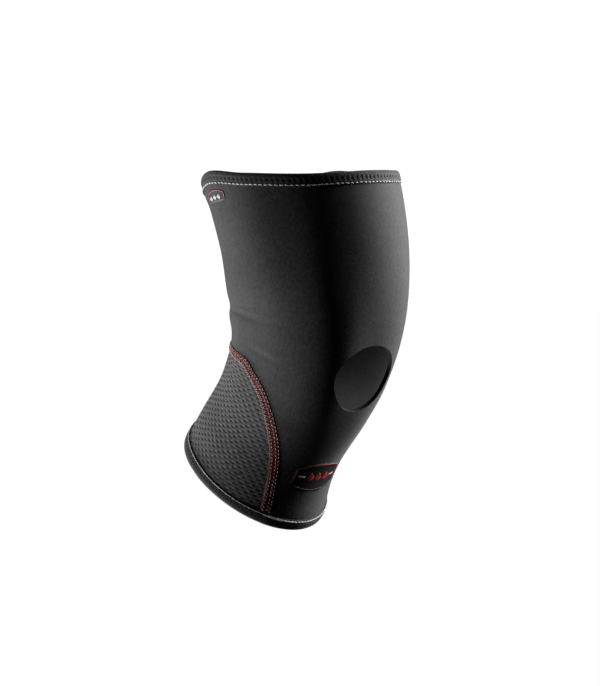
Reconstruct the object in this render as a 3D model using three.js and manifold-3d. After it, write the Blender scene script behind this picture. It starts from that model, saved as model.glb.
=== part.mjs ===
// A pull-on knee sleeve with an open patella, in the shape that it takes on a bent leg.
// Millimetres and degrees. +Z is up, the knee faces -Y and the origin is the middle of the knee.
// Every piece is drawn on a straight round tube, as a flat pattern is, and then pulled onto the leg.

import * as THREE from "three";
import { mergeVertices } from "three/addons/utils/BufferGeometryUtils.js";
import Module from "manifold-3d";

const wasm = await Module();
wasm.setup();

// Lengths along the leg, from the middle of the knee
const thighReach = 143;
const shinReach = 111;

// How far the front of each rim hangs below a straight cut, and how far in from a rim that shows
const topRimDrop = 18;
const bottomRimDrop = 8;
const rimShapeReach = 60;

// The leg under the sleeve, side to side and front to back
const thighWidth = 141;
const thighDepth = 143;
const kneeWidth = 114;
const kneeDepth = 117;
const calfWidth = 108;
const calfDepth = 112;

// Cloth thicknesses and the gap left between pieces
const neopreneWall = 3;
const spacerMeshWall = 2.6;
const bindingCloth = 1;
const bindingLoft = 0.2;
const bindingLoftPlace = 0.45;
const seamBandThickness = 1.1;
const badgeThickness = 0.6;
const badgeTaper = 0.8;
const pieceGap = 0.45;
const thickestCloth = Math.max(neopreneWall, spacerMeshWall);

// The open patella on the pattern: across, along, where its middle is and how far it is turned
const patellaWidth = 60.5;
const patellaHeight = 40.5;
const patellaAcross = 0.6;
const patellaBelowKnee = -5;
const patellaTurn = -3.5;

// The bound rims and the flat seam round the mesh panel
const topBindingHeight = 9;
const bottomBindingHeight = 8;
const seamBandWidth = 8;

// The transfer badges: width, height, room left to the binding, and middle round from the front
const shinBadge = { width: 50, height: 24, room: 24.5, around: 2 };
const thighBadge = { width: 22, height: 9, room: 3.5, around: -114 };

// Facets round the tube, and rows along it that are closer together where the knee folds
const tubeFacets = 56;
const patellaSegments = 20;
const wallRowLength = 13;
const foldRowLength = 7;
const foldRows = { from: -0.4, to: 0.25 };

// Facets of the panel, the seam band and the badges. Steps are rows of the seam's table.
const panelFirstStep = 0.3;
const panelStep = 0.5;
const panelColumns = 26;
const seamBandStep = 0.25;
const seamBandEndStep = 0.02;
const badgeRows = 3;
const badgeColumns = 8;
const bindingRollTurns = [90, 54, 18, -18, -54, -90];

// Short lengths: how fine the middle line is added up, how far off a slope is taken, on the
// surface and along the seam, and how far a cut goes past the cloth
const middleLineStep = 2;
const surfaceNudge = 0.5;
const seamNudge = 0.1;
const cutPast = 8;
const weldDistance = 1e-4;

const rad = THREE.MathUtils.degToRad;
const { lerp, smoothstep } = THREE.MathUtils;

// Sections down the leg: at -1 is the top rim, 0 the knee and 1 the bottom rim.
// lean is the leg's lean there in degrees, with its lower end going back.
// side is a share of half the width there, front and back are shares of the depth there,
// and the fullness of each half squares its corners.
const sections = [
  { at: -1.0, lean: -16, side: 0.98, front: 0.48, back: 0.5, frontFull: 0.012, backFull: 0.035 },
  { at: -0.75, lean: -11, side: 1.01, front: 0.51, back: 0.51, frontFull: 0.026, backFull: 0.02 },
  { at: -0.5, lean: -3, side: 1.03, front: 0.54, back: 0.51, frontFull: 0.032, backFull: 0.02 },
  { at: -0.25, lean: 7, side: 1.02, front: 0.55, back: 0.49, frontFull: 0.048, backFull: 0.03 },
  { at: 0.0, lean: 17, side: 1.0, front: 0.52, back: 0.48, frontFull: 0.06, backFull: 0.03 },
  { at: 0.25, lean: 29, side: 0.95, front: 0.47, back: 0.48, frontFull: 0.05, backFull: 0.03 },
  { at: 0.5, lean: 37, side: 0.93, front: 0.45, back: 0.48, frontFull: 0.02, backFull: 0.03 },
  { at: 0.75, lean: 36, side: 0.97, front: 0.478, back: 0.49, frontFull: 0.0, backFull: 0.03 },
  { at: 1.0, lean: 31, side: 1.02, front: 0.54, back: 0.5, frontFull: 0.0, backFull: 0.03 },
];

// Soft folds and hollows, on the -X side the knee's outer corner with the flat beside it, and where
// the rims stand out or lie closer:
// height is a share of the knee's depth, around and reach are degrees from the front, and length
// is a share of the thigh or shin.
const folds = [
  { at: -0.06, around: 180, height: -0.03, reach: 60, length: 0.16 },
  { at: -0.18, around: 180, height: 0.012, reach: 60, length: 0.05 },
  { at: -0.27, around: 180, height: -0.014, reach: 70, length: 0.05 },
  { at: -0.6, around: -118, height: -0.012, reach: 24, length: 0.16 },
  { at: -0.6, around: 118, height: -0.012, reach: 24, length: 0.16 },
  { at: 0.12, around: -80, height: -0.01, reach: 30, length: 0.2 },
  { at: 0.12, around: 80, height: -0.01, reach: 30, length: 0.2 },
  { at: -0.42, around: -44, height: 0.018, reach: 15, length: 0.22 },
  { at: -0.06, around: -34, height: 0.05, reach: 19, length: 0.28 },
  { at: -0.18, around: -96, height: -0.024, reach: 26, length: 0.26 },
  { at: -0.7, around: -57, height: -0.012, reach: 20, length: 0.22 },
  { at: -1.0, around: 45, height: -0.012, reach: 40, length: 0.08 },
  { at: -1.0, around: -135, height: 0.01, reach: 30, length: 0.06 },
  { at: 1.0, around: -120, height: 0.015, reach: 30, length: 0.08 },
];

// The mesh panel's seam, from the middle of the crease down to the bottom rim on the -X side.
// halfAngle is how far round it has gone from the middle of the back and at is as in the sections.
// On the +X side it has gone a smaller share of that way round.
const farSideShare = 0.85;
const seam = [
  { halfAngle: 0, at: 0.022 },
  { halfAngle: 30, at: 0.024 },
  { halfAngle: 60, at: 0.03 },
  { halfAngle: 80, at: 0.042 },
  { halfAngle: 92, at: 0.1 },
  { halfAngle: 105, at: 0.17 },
  { halfAngle: 114, at: 0.245 },
  { halfAngle: 122, at: 0.325 },
  { halfAngle: 132, at: 0.455 },
  { halfAngle: 138, at: 0.57 },
  { halfAngle: 142.5, at: 0.69 },
  { halfAngle: 145, at: 0.83 },
  { halfAngle: 145, at: 1.0 },
];

// The top rim's wave, round from the front: rise is a share of the thigh's reach.
const topRimWave = [
  { around: -180, rise: -0.02 },
  { around: -145, rise: -0.028 },
  { around: -115, rise: 0.028 },
  { around: -85, rise: 0.007 },
  { around: -45, rise: 0.0 },
  { around: 0, rise: 0.021 },
  { around: 45, rise: 0.014 },
  { around: 85, rise: 0.007 },
  { around: 115, rise: 0.028 },
  { around: 145, rise: -0.028 },
  { around: 180, rise: -0.02 },
];

// Value of one column of a table at a place in its key column, on a smooth curve through the rows.
function along(table, key, place, column) {
  const last = table.length - 1;
  const above = table.findIndex((row) => row[key] > place);
  const i = above === -1 ? last - 1 : Math.max(0, above - 1);
  const slopeAt = (k) => {
    const before = table[Math.max(0, k - 1)];
    const after = table[Math.min(last, k + 1)];
    return (after[column] - before[column]) / (after[key] - before[key]);
  };
  const span = table[i + 1][key] - table[i][key];
  const t = THREE.MathUtils.clamp((place - table[i][key]) / span, 0, 1);
  const straight = lerp(table[i][column], table[i + 1][column], t);
  const bow = t * (1 - t) * span;
  const chord = (table[i + 1][column] - table[i][column]) / span;
  return straight + bow * ((1 - t) * (slopeAt(i) - chord) - t * (slopeAt(i + 1) - chord));
}

// The leg's middle line in the YZ plane, added up from the leans along it.
const shareOf = (station) => (station < 0 ? station / thighReach : station / shinReach);
const leanAt = (station) => rad(along(sections, "at", shareOf(station), "lean"));

function middleAt(station) {
  const steps = Math.max(1, Math.ceil(Math.abs(station) / middleLineStep));
  const step = station / steps;
  let y = 0;
  let z = 0;
  for (let i = 0; i < steps; i++) {
    const lean = leanAt((i + 0.5) * step);
    y += Math.sin(lean) * step;
    z -= Math.cos(lean) * step;
  }
  return { y, z };
}

// How far a fold stands out at a place on the leg.
function foldHeight(fold, at, angle) {
  const turn = THREE.MathUtils.euclideanModulo(angle - fold.around + 180, 360) - 180;
  const away = (turn / fold.reach) ** 2 + ((at - fold.at) / fold.length) ** 2;
  return fold.height * kneeDepth * Math.exp(-away);
}

// A point of the leg's skin, at an angle round from the front and a station down from the knee.
function skinAt(angle, station) {
  const at = shareOf(station);
  const width = at < 0 ? lerp(kneeWidth, thighWidth, -at) : lerp(kneeWidth, calfWidth, at);
  const depth = at < 0 ? lerp(kneeDepth, thighDepth, -at) : lerp(kneeDepth, calfDepth, at);
  const section = (column) => along(sections, "at", at, column);
  const sine = Math.sin(rad(angle));
  const cosine = Math.cos(rad(angle));
  const half = cosine >= 0 ? section("front") : section("back");
  const full = cosine >= 0 ? section("frontFull") : section("backFull");
  const swell = 1 + full * (2 * sine * cosine) ** 2;
  const raised = folds.reduce((sum, fold) => sum + foldHeight(fold, at, angle), 0);
  const across = sine * (swell * section("side") * width / 2 + raised);
  const forward = cosine * (swell * half * depth + raised);
  const lean = leanAt(station);
  const middle = middleAt(station);
  return new THREE.Vector3(
    across,
    middle.y - Math.cos(lean) * forward,
    middle.z - Math.sin(lean) * forward,
  );
}

// The rims aren't cut straight: stations near them are drawn out to the tilted and wavy edge.
function drawnStation(angle, station) {
  const round = THREE.MathUtils.euclideanModulo(angle + 180, 360) - 180;
  const nearTop = smoothstep(-station, thighReach - rimShapeReach, thighReach);
  const nearBottom = smoothstep(station, shinReach - rimShapeReach, shinReach);
  const rise = along(topRimWave, "around", round, "rise") * thighReach;
  const forward = Math.cos(rad(angle));
  return station + nearTop * (topRimDrop * forward - rise) + nearBottom * bottomRimDrop * forward;
}

// A point that stands off the leg's skin by a height, on the sleeve as it is worn.
function onLeg(angle, station, height) {
  const drawn = drawnStation(angle, station);
  const point = skinAt(angle, drawn);
  const down = skinAt(angle, drawn + surfaceNudge).sub(skinAt(angle, drawn - surfaceNudge));
  const round = skinAt(angle + surfaceNudge, drawn).sub(skinAt(angle - surfaceNudge, drawn));
  const outward = round.cross(down).normalize().negate();
  return point.addScaledVector(outward, height);
}

// The pattern tube. A length round the leg is turned to an angle at the tube's radius.
const tubeRadius = (kneeWidth + kneeDepth) / 4;
const degreesRound = (length) => THREE.MathUtils.radToDeg(length / tubeRadius);

function onTube(angle, station, height) {
  const radius = tubeRadius + height;
  return new THREE.Vector3(radius * Math.sin(rad(angle)), -radius * Math.cos(rad(angle)), -station);
}

// Evenly spaced numbers from start to end, at most step apart.
function spaced(start, end, step) {
  const count = Math.max(1, Math.ceil(Math.abs(end - start) / step));
  return Array.from({ length: count + 1 }, (_, i) => lerp(start, end, i / count));
}

// A geometry as a manifold solid, and back.
function solidOf(geometry) {
  const bare = geometry.index ? geometry.toNonIndexed() : geometry.clone();
  bare.deleteAttribute("normal");
  bare.deleteAttribute("uv");
  const merged = mergeVertices(bare, weldDistance);
  const mesh = new wasm.Mesh({
    numProp: 3,
    vertProperties: merged.attributes.position.array,
    triVerts: new Uint32Array(merged.index.array),
  });
  return new wasm.Manifold(mesh);
}

function geometryOf(solid) {
  const mesh = solid.getMesh();
  const position = new Float32Array(mesh.numVert * 3);
  for (let i = 0; i < mesh.numVert; i++) {
    position.set(mesh.vertProperties.subarray(i * mesh.numProp, i * mesh.numProp + 3), i * 3);
  }
  const geometry = new THREE.BufferGeometry();
  geometry.setAttribute("position", new THREE.BufferAttribute(position, 3));
  return geometry.setIndex(new THREE.BufferAttribute(mesh.triVerts, 1));
}

// A ring on the tube from a closed profile of { height, station } corners.
function tubeRing(profile) {
  const points = profile.map((p) => new THREE.Vector2(tubeRadius + p.height, -p.station));
  points.push(points[0].clone());
  return new THREE.LatheGeometry(points, tubeFacets).rotateX(Math.PI / 2).rotateZ(-Math.PI / 2);
}

// A closed patch of cloth: rows and columns of places between a lower and an upper height.
// place(row, column) gives { angle, station }.
function patch(rows, columns, low, high, place) {
  const corner = (r, c, height) => {
    const { angle, station } = place(rows[r], columns[c]);
    return onTube(angle, station, height).toArray();
  };
  const triangles = [];
  const quad = (a, b, c, d) => triangles.push(...a, ...b, ...c, ...a, ...c, ...d);
  const lastRow = rows.length - 1;
  const lastColumn = columns.length - 1;
  for (let r = 0; r < lastRow; r++) {
    for (let c = 0; c < lastColumn; c++) {
      quad(corner(r, c, high), corner(r + 1, c, high), corner(r + 1, c + 1, high), corner(r, c + 1, high));
      quad(corner(r, c, low), corner(r, c + 1, low), corner(r + 1, c + 1, low), corner(r + 1, c, low));
    }
    quad(corner(r, 0, low), corner(r + 1, 0, low), corner(r + 1, 0, high), corner(r, 0, high));
    quad(
      corner(r, lastColumn, high), corner(r + 1, lastColumn, high),
      corner(r + 1, lastColumn, low), corner(r, lastColumn, low),
    );
  }
  for (let c = 0; c < lastColumn; c++) {
    quad(corner(0, c, low), corner(0, c, high), corner(0, c + 1, high), corner(0, c + 1, low));
    quad(
      corner(lastRow, c, low), corner(lastRow, c + 1, low),
      corner(lastRow, c + 1, high), corner(lastRow, c, high),
    );
  }
  const geometry = new THREE.BufferGeometry();
  geometry.setAttribute("position", new THREE.Float32BufferAttribute(triangles, 3));
  return geometry;
}

// Pulls a geometry from the tube onto the leg. The tube is faceted, so a point between two
// corners of a facet is first brought back out to the round tube.
function pulledOn(geometry, faceted) {
  const position = geometry.attributes.position;
  const facet = 360 / tubeFacets;
  for (let i = 0; i < position.count; i++) {
    const [x, y, z] = [position.getX(i), position.getY(i), position.getZ(i)];
    const angle = THREE.MathUtils.radToDeg(Math.atan2(x, -y));
    const offFacet = THREE.MathUtils.euclideanModulo(angle, facet) - facet / 2;
    const stretch = faceted ? Math.cos(rad(offFacet)) / Math.cos(rad(facet / 2)) : 1;
    const worn = onLeg(angle, -z, Math.hypot(x, y) * stretch - tubeRadius);
    position.setXYZ(i, worn.x, worn.y, worn.z);
  }
  return geometry;
}

// A point of the seam's path. step counts the rows of its table, and is negative on the other side.
// margin moves the point out of the mesh panel, square to the path.
const seamRows = seam.map((row, step) => ({ ...row, step }));
const lastSeamStep = seam.length - 1;

function seamPath(step) {
  const side = step < 0 ? -farSideShare : 1;
  return new THREE.Vector2(
    side * along(seamRows, "step", Math.abs(step), "halfAngle") * rad(tubeRadius),
    along(seamRows, "step", Math.abs(step), "at") * shinReach,
  );
}

function seamPoint(step, margin) {
  const ahead = seamPath(Math.min(step + seamNudge, lastSeamStep));
  const behind = seamPath(Math.max(step - seamNudge, -lastSeamStep));
  const course = ahead.sub(behind).normalize();
  const point = seamPath(step);
  return { angle: 180 + degreesRound(point.x + margin * course.y), station: point.y - margin * course.x };
}

// The mesh panel's outline grown by a margin and drawn between two heights.
function meshPanelPatch(margin, low, high) {
  const steps = spaced(panelFirstStep, lastSeamStep, panelStep);
  return patch(steps, spaced(0, 1, 1 / panelColumns), low, high, (step, across) => {
    const from = seamPoint(-step, margin);
    const to = seamPoint(step, margin);
    return { angle: lerp(from.angle, to.angle, across), station: lerp(from.station, to.station, across) };
  });
}

// The neoprene body: a tube with the patella and the place of the mesh panel cut out.
function neopreneBody() {
  const foldedFrom = foldRows.from * thighReach;
  const foldedTo = foldRows.to * shinReach;
  const rows = [
    -thighReach,
    ...spaced(-thighReach + topBindingHeight, foldedFrom, wallRowLength),
    ...spaced(foldedFrom, foldedTo, foldRowLength).slice(1, -1),
    ...spaced(foldedTo, shinReach - bottomBindingHeight, wallRowLength),
    shinReach,
  ];
  const wall = tubeRing([
    ...rows.map((station) => ({ height: 0, station })),
    ...rows.toReversed().map((station) => ({ height: neopreneWall, station })),
  ]);
  const oval = new THREE.Shape();
  oval.absellipse(0, 0, patellaWidth / 2, patellaHeight / 2, 0, 2 * Math.PI, false, rad(patellaTurn));
  const plug = new THREE.ExtrudeGeometry(oval, {
    depth: neopreneWall + 2 * cutPast,
    bevelEnabled: false,
    curveSegments: patellaSegments,
  });
  const corners = plug.attributes.position;
  for (let i = 0; i < corners.count; i++) {
    const height = corners.getZ(i) - cutPast;
    const angle = degreesRound(patellaAcross + corners.getX(i));
    const place = onTube(angle, patellaBelowKnee - corners.getY(i), height);
    corners.setXYZ(i, place.x, place.y, place.z);
  }
  const panelPlace = meshPanelPatch(pieceGap, -cutPast, neopreneWall + cutPast);
  const body = solidOf(wall).subtract(solidOf(plug)).subtract(solidOf(panelPlace));
  return pulledOn(geometryOf(body), true);
}

// A folded binding round a rim: a channel over the cloth's edge, lofted between rim and stitch line.
// inward is 1 where the leg's stations grow away from the rim, and -1 where they shrink.
function rimBinding(rimStation, bandHeight, inward) {
  const outer = thickestCloth + pieceGap;
  const edge = rimStation - inward * pieceGap;
  const foot = rimStation + inward * bandHeight;
  const roll = (outer + pieceGap) / 2 + bindingCloth;
  const rollMiddle = thickestCloth / 2;
  const profile = [
    { height: outer, station: foot },
    { height: outer + bindingCloth, station: foot },
    { height: outer + bindingCloth + bindingLoft, station: lerp(foot, edge, bindingLoftPlace) },
  ];
  for (const turn of bindingRollTurns) {
    profile.push({
      height: rollMiddle + roll * Math.sin(rad(turn)),
      station: edge - inward * bindingCloth * Math.cos(rad(turn)),
    });
  }
  profile.push({ height: -pieceGap - bindingCloth, station: foot });
  profile.push({ height: -pieceGap, station: foot });
  profile.push({ height: -pieceGap, station: edge });
  profile.push({ height: outer, station: edge });
  if (inward < 0) profile.reverse();
  return pulledOn(tubeRing(profile), false);
}

// The flat seam band: one strip that follows the mesh panel's edge up one side and down the other.
function seamBand() {
  const low = thickestCloth + pieceGap;
  const foot = shinReach - bottomBindingHeight - pieceGap;
  const lastStep = spaced(lastSeamStep, 0, seamBandEndStep).find((step) => seamPath(step).y < foot);
  const steps = spaced(-lastStep, lastStep, seamBandStep);
  return patch(steps, [0, 1], low, low + seamBandThickness, (step, across) => (
    seamPoint(step, (across - 0.5) * seamBandWidth)
  ));
}

// A transfer badge: a barrel-shaped patch that lies on the neoprene, next to a rim's binding.
function badge(size, rimStation, bandHeight, inward) {
  const low = neopreneWall + pieceGap;
  const middle = rimStation + inward * (bandHeight + size.room + size.height / 2);
  const rows = spaced(0, 1, 1 / badgeRows);
  const columns = spaced(0, 1, 1 / badgeColumns);
  return patch(rows, columns, low, low + badgeThickness, (down, across) => {
    const taper = Math.sqrt(1 - (badgeTaper * (2 * across - 1)) ** 2);
    return {
      angle: size.around + degreesRound((across - 0.5) * size.width),
      station: middle + (down - 0.5) * size.height * taper,
    };
  });
}

// Materials
function cloth(name, color, roughness) {
  return new THREE.MeshStandardMaterial({ name, color, roughness, metalness: 0 });
}

const neopreneCloth = cloth("neoprene", 0x2b2c2e, 0.8);
const spacerMesh = cloth("spacer mesh", 0x3a3c3e, 0.85);
const bindingTape = cloth("binding", 0x1f2022, 0.85);
const seamThread = cloth("seam thread", 0x5a2624, 0.8);
const transfer = cloth("transfer", 0x8c2a26, 0.5);

function piece(name, geometry, material) {
  geometry.deleteAttribute("uv");
  geometry.computeVertexNormals();
  const mesh = new THREE.Mesh(geometry, material);
  mesh.name = name;
  return mesh;
}

const kneeSleeve = new THREE.Group();
kneeSleeve.add(
  piece("neoprene_body", neopreneBody(), neopreneCloth),
  piece("mesh_back_panel", pulledOn(meshPanelPatch(0, 0, spacerMeshWall), false), spacerMesh),
  piece("top_binding", rimBinding(-thighReach, topBindingHeight, 1), bindingTape),
  piece("bottom_binding", rimBinding(shinReach, bottomBindingHeight, -1), bindingTape),
  piece("seam_band", pulledOn(seamBand(), false), seamThread),
  piece("shin_badge", pulledOn(badge(shinBadge, shinReach, bottomBindingHeight, -1), false), transfer),
  piece("thigh_badge", pulledOn(badge(thighBadge, -thighReach, topBindingHeight, 1), false), transfer),
);

export default kneeSleeve;
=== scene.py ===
# A pull-on knee sleeve with an open patella, dressed for its picture.
# Metres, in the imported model's own frame: +Z is up, the knee faces -Y, the origin is mid knee.

import math

import bmesh
import bpy
import numpy as np
from mathutils.geometry import delaunay_2d_cdt
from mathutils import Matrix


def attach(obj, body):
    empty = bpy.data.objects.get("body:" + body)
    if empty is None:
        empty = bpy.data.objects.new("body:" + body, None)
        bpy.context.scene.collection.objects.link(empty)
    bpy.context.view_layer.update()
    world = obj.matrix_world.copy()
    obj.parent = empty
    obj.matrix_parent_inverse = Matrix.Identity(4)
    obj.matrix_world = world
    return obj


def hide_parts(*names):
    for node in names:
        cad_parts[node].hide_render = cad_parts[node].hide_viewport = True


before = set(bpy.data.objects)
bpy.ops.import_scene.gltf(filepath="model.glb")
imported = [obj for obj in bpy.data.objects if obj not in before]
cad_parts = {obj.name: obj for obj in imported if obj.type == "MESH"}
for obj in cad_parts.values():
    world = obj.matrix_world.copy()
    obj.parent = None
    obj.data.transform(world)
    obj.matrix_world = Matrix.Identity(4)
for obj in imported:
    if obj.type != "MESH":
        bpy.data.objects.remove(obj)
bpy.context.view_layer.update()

# The camera
# The photo looks at the sleeve half from its side, from a little above the knee, through a long
# lens. Its frame is a little off the knee's middle, so the camera slides without turning.

VIEW_ROUND = math.radians(-45)
VIEW_UP = math.radians(3)
CAMERA_AWAY = 2.4
PHOTO_HEIGHT_PX = 686
METRES_PER_PX = 0.000772
SENSOR_LONG_SIDE_MM = 36
SLIDE_RIGHT = -0.0050
SLIDE_UP = 0.0116

to_camera = np.array([
    math.sin(VIEW_ROUND) * math.cos(VIEW_UP),
    -math.cos(VIEW_ROUND) * math.cos(VIEW_UP),
    math.sin(VIEW_UP),
])
to_right = np.array([math.cos(VIEW_ROUND), math.sin(VIEW_ROUND), 0.0])
to_top = np.cross(to_camera, to_right)
camera_place = to_camera * CAMERA_AWAY + to_right * SLIDE_RIGHT + to_top * SLIDE_UP

bpy.ops.object.camera_add(
    location=camera_place,
    rotation=(math.pi / 2 - VIEW_UP, 0, VIEW_ROUND),
)
camera = bpy.context.object
camera.name = "photo_camera"
camera.data.sensor_width = SENSOR_LONG_SIDE_MM
camera.data.lens = SENSOR_LONG_SIDE_MM * CAMERA_AWAY / (PHOTO_HEIGHT_PX * METRES_PER_PX)
bpy.context.scene.camera = camera

# The worn form
# The leg that fills the sleeve gives every piece its shape. Each piece is cut on a flat pattern:
# a length round the leg at the knee's girth, and a station down from the middle of the knee.

THIGH_REACH = 0.143
SHIN_REACH = 0.111
TOP_RIM_DROP = 0.018
BOTTOM_RIM_DROP = 0.008
RIM_SHAPE_REACH = 0.060
THIGH_WIDTH = 0.141
THIGH_DEPTH = 0.143
KNEE_WIDTH = 0.114
KNEE_DEPTH = 0.117
CALF_WIDTH = 0.108
CALF_DEPTH = 0.112
PATTERN_RADIUS = (KNEE_WIDTH + KNEE_DEPTH) / 4
BACK = math.pi * PATTERN_RADIUS
SURFACE_NUDGE = 0.0005

# Sections across the leg, from the thigh's rim at -1 to the shin's at 1. lean turns a section, in
# degrees. side, front and back are shares of the width and depth, and full fills out the corners.
SECTIONS = [
    dict(at=-1.00, lean=-16, side=0.98, front=0.48, back=0.50, front_full=0.012, back_full=0.035),
    dict(at=-0.75, lean=-11, side=1.01, front=0.51, back=0.51, front_full=0.026, back_full=0.02),
    dict(at=-0.50, lean=-3, side=1.03, front=0.54, back=0.51, front_full=0.032, back_full=0.02),
    dict(at=-0.25, lean=7, side=1.02, front=0.55, back=0.49, front_full=0.048, back_full=0.03),
    dict(at=0.00, lean=17, side=1.00, front=0.52, back=0.48, front_full=0.06, back_full=0.03),
    dict(at=0.25, lean=29, side=0.95, front=0.47, back=0.48, front_full=0.05, back_full=0.03),
    dict(at=0.50, lean=37, side=0.93, front=0.45, back=0.48, front_full=0.02, back_full=0.03),
    dict(at=0.75, lean=36, side=0.97, front=0.478, back=0.49, front_full=0.00, back_full=0.03),
    dict(at=1.00, lean=31, side=1.02, front=0.54, back=0.50, front_full=0.00, back_full=0.03),
]
# Swells and hollows: around and reach are degrees round the leg, from the front, and height is a
# share of the knee's depth
FOLDS = [
    dict(at=-0.06, around=180, height=-0.030, reach=60, length=0.16),
    dict(at=-0.18, around=180, height=0.012, reach=60, length=0.05),
    dict(at=-0.27, around=180, height=-0.014, reach=70, length=0.05),
    dict(at=-0.60, around=-118, height=-0.012, reach=24, length=0.16),
    dict(at=-0.60, around=118, height=-0.012, reach=24, length=0.16),
    dict(at=0.12, around=-80, height=-0.010, reach=30, length=0.20),
    dict(at=0.12, around=80, height=-0.010, reach=30, length=0.20),
    dict(at=-0.42, around=-44, height=0.018, reach=15, length=0.22),
    dict(at=-0.06, around=-34, height=0.050, reach=19, length=0.28),
    dict(at=-0.18, around=-96, height=-0.024, reach=26, length=0.26),
    dict(at=-0.70, around=-57, height=-0.012, reach=20, length=0.22),
    dict(at=-1.00, around=45, height=-0.012, reach=40, length=0.08),
    dict(at=-1.00, around=-135, height=0.010, reach=30, length=0.06),
    dict(at=1.00, around=-120, height=0.015, reach=30, length=0.08),
]
# How far the thigh's rim stands up or down round the leg, as a share of the thigh's reach
TOP_RIM_WAVE = [
    dict(around=-180, rise=-0.020),
    dict(around=-145, rise=-0.028),
    dict(around=-115, rise=0.028),
    dict(around=-85, rise=0.007),
    dict(around=-45, rise=0.000),
    dict(around=0, rise=0.021),
    dict(around=45, rise=0.014),
    dict(around=85, rise=0.007),
    dict(around=115, rise=0.028),
    dict(around=145, rise=-0.028),
    dict(around=180, rise=-0.020),
]


def along(table, key, place, column):
    """One column of a table at places in its key column, on a smooth curve through the rows."""
    keys = np.array([row[key] for row in table], float)
    values = np.array([row[column] for row in table], float)
    last = len(table) - 1
    before = np.maximum(np.arange(len(table)) - 1, 0)
    after = np.minimum(np.arange(len(table)) + 1, last)
    slopes = (values[after] - values[before]) / (keys[after] - keys[before])
    i = np.clip(np.searchsorted(keys, place, side="right") - 1, 0, last - 1)
    span = keys[i + 1] - keys[i]
    t = np.clip((place - keys[i]) / span, 0, 1)
    chord = (values[i + 1] - values[i]) / span
    bow = t * (1 - t) * span
    straight = values[i] + (values[i + 1] - values[i]) * t
    return straight + bow * ((1 - t) * (slopes[i] - chord) - t * (slopes[i + 1] - chord))


def smooth(place, start, end):
    """0 before start, 1 after end and a soft step between them."""
    t = np.clip((place - start) / (end - start), 0, 1)
    return t * t * (3 - 2 * t)


def share_of(station):
    """A station as a share of the thigh's or the shin's reach."""
    return np.where(station < 0, station / THIGH_REACH, station / SHIN_REACH)


def wrapped(degrees):
    """The same angle between -180 and 180."""
    return (degrees + 180) % 360 - 180


# The leg's middle line, added up from its leans in short steps, past both rims
MIDDLE_STEP = 0.001
MIDDLE_PAST_RIMS = 0.05
middle_start = -THIGH_REACH - MIDDLE_PAST_RIMS
middle_stations = np.arange(middle_start, SHIN_REACH + MIDDLE_PAST_RIMS, MIDDLE_STEP)
middle_shares = share_of(middle_stations + MIDDLE_STEP / 2)
middle_leans = np.radians(along(SECTIONS, "at", middle_shares, "lean"))
middle_y = np.concatenate([[0], np.cumsum(np.sin(middle_leans) * MIDDLE_STEP)[:-1]])
middle_z = np.concatenate([[0], np.cumsum(-np.cos(middle_leans) * MIDDLE_STEP)[:-1]])
middle_y -= np.interp(0, middle_stations, middle_y)
middle_z -= np.interp(0, middle_stations, middle_z)


def skin_at(angle, station):
    """Points of the leg's skin, at angles in degrees round from the front and stations down."""
    at = share_of(station)
    wider = np.where(at < 0, (THIGH_WIDTH - KNEE_WIDTH) * -at, (CALF_WIDTH - KNEE_WIDTH) * at)
    deeper = np.where(at < 0, (THIGH_DEPTH - KNEE_DEPTH) * -at, (CALF_DEPTH - KNEE_DEPTH) * at)
    width = KNEE_WIDTH + wider
    depth = KNEE_DEPTH + deeper
    section = {name: along(SECTIONS, "at", at, name) for name in SECTIONS[0] if name != "at"}
    sine = np.sin(np.radians(angle))
    cosine = np.cos(np.radians(angle))
    half = np.where(cosine >= 0, section["front"], section["back"])
    full = np.where(cosine >= 0, section["front_full"], section["back_full"])
    swell = 1 + full * (2 * sine * cosine) ** 2
    raised = 0
    for fold in FOLDS:
        turn = wrapped(angle - fold["around"]) / fold["reach"]
        down = (at - fold["at"]) / fold["length"]
        raised = raised + fold["height"] * KNEE_DEPTH * np.exp(-turn**2 - down**2)
    across = sine * (swell * section["side"] * width / 2 + raised)
    forward = cosine * (swell * half * depth + raised)
    lean = np.radians(section["lean"])
    y = np.interp(station, middle_stations, middle_y) - np.cos(lean) * forward
    z = np.interp(station, middle_stations, middle_z) - np.sin(lean) * forward
    return np.stack([across, y, z], -1)


def drawn_station(angle, station):
    """The rims aren't cut straight, so stations near them are drawn out to the wavy edge."""
    near_top = smooth(-station, THIGH_REACH - RIM_SHAPE_REACH, THIGH_REACH)
    near_bottom = smooth(station, SHIN_REACH - RIM_SHAPE_REACH, SHIN_REACH)
    rise = along(TOP_RIM_WAVE, "around", wrapped(angle), "rise") * THIGH_REACH
    forward = np.cos(np.radians(angle))
    with_top = station + near_top * (TOP_RIM_DROP * forward - rise)
    return with_top + near_bottom * BOTTOM_RIM_DROP * forward


def on_leg(around, station, height):
    """Points of the worn sleeve from places on the flat pattern and heights above the skin."""
    around, station, height = np.broadcast_arrays(around, station, height)
    angle = np.degrees(around / PATTERN_RADIUS)
    drawn = drawn_station(angle, station)
    turn = np.degrees(SURFACE_NUDGE / PATTERN_RADIUS)
    down = skin_at(angle, drawn + SURFACE_NUDGE) - skin_at(angle, drawn - SURFACE_NUDGE)
    round_leg = skin_at(angle + turn, drawn) - skin_at(angle - turn, drawn)
    outward = -np.cross(round_leg, down)
    outward /= np.linalg.norm(outward, axis=-1, keepdims=True)
    return skin_at(angle, drawn) + outward * height[..., None]


# The neoprene body
# One piece of 3 mm neoprene with nylon jersey glued to both faces, cut flat, with an oval cut out
# over the kneecap and an arch cut out for the mesh panel. Its cut edges are raw. It is pulled
# tight over the leg, so it lies flat but for a few soft creases behind and above the knee.

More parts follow.
